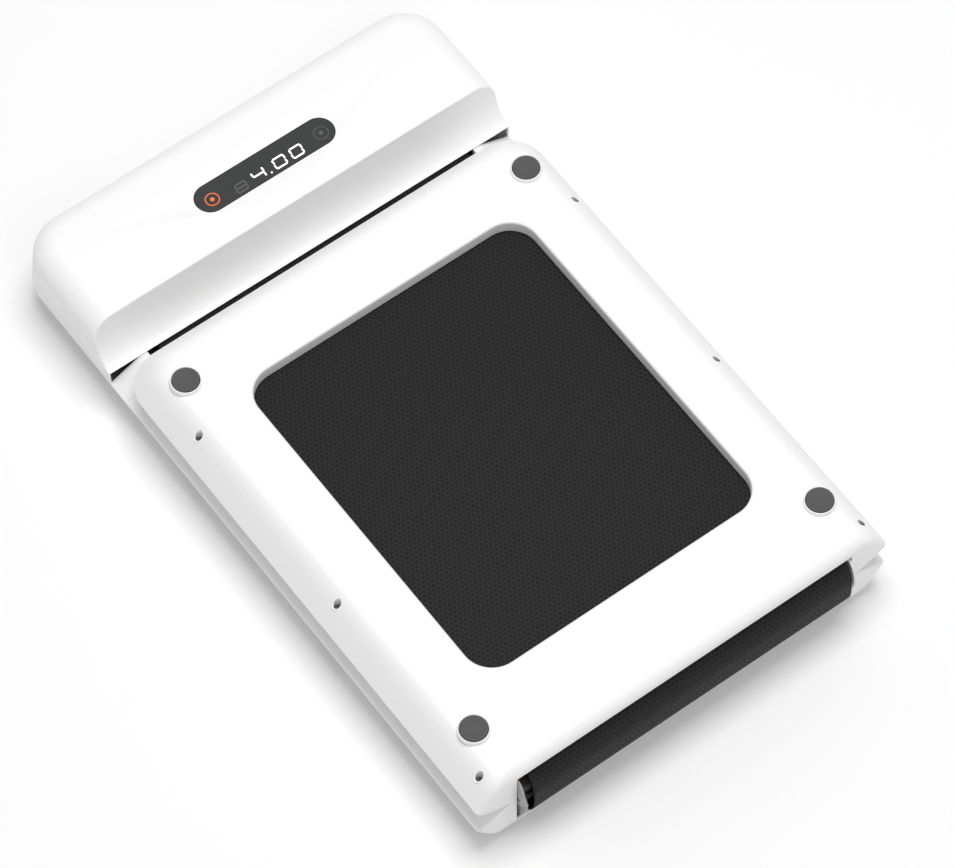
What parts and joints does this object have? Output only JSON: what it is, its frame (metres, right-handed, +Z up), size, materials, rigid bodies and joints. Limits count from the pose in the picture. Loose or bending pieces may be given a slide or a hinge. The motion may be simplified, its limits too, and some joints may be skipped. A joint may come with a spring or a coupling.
{
  "type": "treadmill",
  "caption": "Low under-desk walking treadmill that folds in half on a hinge across its middle, shown folded, with a raised head holding the motor and display.",
  "frame": {"origin": "middle of the footprint of the folded treadmill, on the floor", "axes": "+X across the treadmill, +Y from the fold to the head, +Z up"},
  "size_m": [0.518, 0.8363, 0.129],
  "materials": {
    "white_casing": "satin",
    "frame_steel": "powder coat",
    "deck_board": "laminated board",
    "display_glass": "smoked, glossy",
    "circuit_board": "solder mask",
    "motor_casing": "painted",
    "turned_steel": "turned",
    "drive_rubber": "ribbed",
    "sink_aluminium": "extruded",
    "black_plastic": "fine texture",
    "foot_rubber": "matt",
    "screw_steel": "blackened",
    "hinge_steel": "zinc grey",
    "walking_belt": "fine dimpled"
  },
  "bodies": {
    "front_half": {"front_pan": "white_casing", "front_rail_left": "white_casing", "front_rail_right": "white_casing", "front_beam_left": "frame_steel", "front_beam_right": "frame_steel", "front_cross_members": "frame_steel", "front_deck": "deck_board", "head_cover": "white_casing", "display_lens": "display_glass", "display_board": "circuit_board", "motor_body": "motor_casing", "motor_bracket": "frame_steel", "drive_belt": "drive_rubber", "controller_board": "circuit_board", "controller_heat_sink": "sink_aluminium", "power_inlet": "black_plastic", "switch_frame": "black_plastic", "front_axle": "turned_steel", "front_feet": "foot_rubber", "front_screws": "screw_steel", "front_hinge_leaves": "hinge_steel", "hinge_pins": "screw_steel", "wheel_axles": "turned_steel", "front_belt_top": "walking_belt", "front_belt_nose": "walking_belt"},
    "rear_half": {"rear_pan": "white_casing", "rear_rail_left": "white_casing", "rear_rail_right": "white_casing", "tail_cover": "white_casing", "rear_beam_left": "frame_steel", "rear_beam_right": "frame_steel", "rear_cross_members": "frame_steel", "rear_deck": "deck_board", "rear_axle": "turned_steel", "tension_bolts": "screw_steel", "rear_feet": "foot_rubber", "rear_screws": "screw_steel", "rear_hinge_leaves": "hinge_steel", "rear_belt_top": "walking_belt", "rear_belt_nose": "walking_belt"},
    "front_roller": {"front_roller": "turned_steel", "front_bearings": "turned_steel"},
    "rear_roller": {"rear_roller": "turned_steel", "rear_bearings": "turned_steel"},
    "motor_rotor": {"motor_pulley": "turned_steel"},
    "wheel_left": {"wheel_left": "black_plastic"},
    "wheel_right": {"wheel_right": "black_plastic"},
    "power_rocker": {"power_rocker": "black_plastic"},
    "front_run": {"front_belt_run": "walking_belt"},
    "rear_run": {"rear_belt_run": "walking_belt"},
    "front_wrap_1": {"front_wrap_1": "walking_belt"},
    "front_wrap_2": {"front_wrap_2": "walking_belt"},
    "front_wrap_3": {"front_wrap_3": "walking_belt"},
    "front_wrap_4": {"front_wrap_4": "walking_belt"},
    "rear_wrap_1": {"rear_wrap_1": "walking_belt"},
    "rear_wrap_2": {"rear_wrap_2": "walking_belt"},
    "rear_wrap_3": {"rear_wrap_3": "walking_belt"},
    "rear_wrap_4": {"rear_wrap_4": "walking_belt"}
  },
  "joints": [
    {"name": "fold", "type": "hinge", "parent": "front_half", "child": "rear_half", "pos_m": [0, -0.407, 0.0645], "axis": [1, 0, 0], "range_deg": [0, 180]},
    {"name": "front_roller_spin", "type": "hinge", "parent": "front_half", "child": "front_roller", "pos_m": [0, 0.265, 0.042], "axis": [1, 0, 0], "continuous": true},
    {"name": "rear_roller_spin", "type": "hinge", "parent": "rear_half", "child": "rear_roller", "pos_m": [0, 0.192, 0.087], "axis": [1, 0, 0], "continuous": true},
    {"name": "motor_spin", "type": "hinge", "parent": "front_half", "child": "motor_rotor", "pos_m": [0, 0.3405, 0.0515], "axis": [1, 0, 0], "continuous": true},
    {"name": "wheel_left_spin", "type": "hinge", "parent": "front_half", "child": "wheel_left", "pos_m": [-0.196, 0.385, 0.0275], "axis": [1, 0, 0], "continuous": true},
    {"name": "wheel_right_spin", "type": "hinge", "parent": "front_half", "child": "wheel_right", "pos_m": [0.196, 0.385, 0.0275], "axis": [1, 0, 0], "continuous": true},
    {"name": "switch_rock", "type": "hinge", "parent": "front_half", "child": "power_rocker", "pos_m": [-0.105, 0.411, 0.068], "axis": [-1, 0, 0], "range_deg": [0, 20]},
    {"name": "front_run_slide", "type": "slide", "parent": "front_half", "child": "front_run", "axis": [0, 1, 0], "range_m": [0, 0.03893]},
    {"name": "front_wrap_1_bend", "type": "hinge", "parent": "front_run", "child": "front_wrap_1", "pos_m": [0, -0.3956, 0.0236], "axis": [1, 0, 0], "range_deg": [0, 22.51]},
    {"name": "front_wrap_2_bend", "type": "hinge", "parent": "front_wrap_1", "child": "front_wrap_2", "pos_m": [0, -0.40391, 0.02704], "axis": [1, 0, 0], "range_deg": [0, 22.51]},
    {"name": "front_wrap_3_bend", "type": "hinge", "parent": "front_wrap_2", "child": "front_wrap_3", "pos_m": [0, -0.41028, 0.03341], "axis": [1, 0, 0], "range_deg": [0, 22.51]},
    {"name": "front_wrap_4_bend", "type": "hinge", "parent": "front_wrap_3", "child": "front_wrap_4", "pos_m": [0, -0.4164, 0.04819], "axis": [1, 0, 0], "range_deg": [0, 22.51]},
    {"name": "rear_run_slide", "type": "slide", "parent": "rear_half", "child": "rear_run", "axis": [0, 1, 0], "range_m": [0, 0.03893]},
    {"name": "rear_wrap_1_bend", "type": "hinge", "parent": "rear_run", "child": "rear_wrap_1", "pos_m": [0, -0.3956, 0.1054], "axis": [-1, 0, 0], "range_deg": [0, 22.51]},
    {"name": "rear_wrap_2_bend", "type": "hinge", "parent": "rear_wrap_1", "child": "rear_wrap_2", "pos_m": [0, -0.40391, 0.10196], "axis": [-1, 0, 0], "range_deg": [0, 22.51]},
    {"name": "rear_wrap_3_bend", "type": "hinge", "parent": "rear_wrap_2", "child": "rear_wrap_3", "pos_m": [0, -0.41028, 0.09559], "axis": [-1, 0, 0], "range_deg": [0, 22.51]},
    {"name": "rear_wrap_4_bend", "type": "hinge", "parent": "rear_wrap_3", "child": "rear_wrap_4", "pos_m": [0, -0.4164, 0.08081], "axis": [-1, 0, 0], "range_deg": [0, 22.51]}
  ],
  "couplings": [
    {"joint": "rear_roller_spin", "follows": "front_roller_spin", "ratio": 1},
    {"joint": "motor_spin", "follows": "front_roller_spin", "ratio": 2},
    {"joint": "front_run_slide", "follows": "fold", "m_per_rad": 0.012385},
    {"joint": "front_wrap_1_bend", "follows": "fold", "ratio": 0.125},
    {"joint": "front_wrap_2_bend", "follows": "fold", "ratio": 0.125},
    {"joint": "front_wrap_3_bend", "follows": "fold", "ratio": 0.125},
    {"joint": "front_wrap_4_bend", "follows": "fold", "ratio": 0.125},
    {"joint": "rear_run_slide", "follows": "fold", "m_per_rad": 0.012385},
    {"joint": "rear_wrap_1_bend", "follows": "fold", "ratio": 0.125},
    {"joint": "rear_wrap_2_bend", "follows": "fold", "ratio": 0.125},
    {"joint": "rear_wrap_3_bend", "follows": "fold", "ratio": 0.125},
    {"joint": "rear_wrap_4_bend", "follows": "fold", "ratio": 0.125}
  ]
}
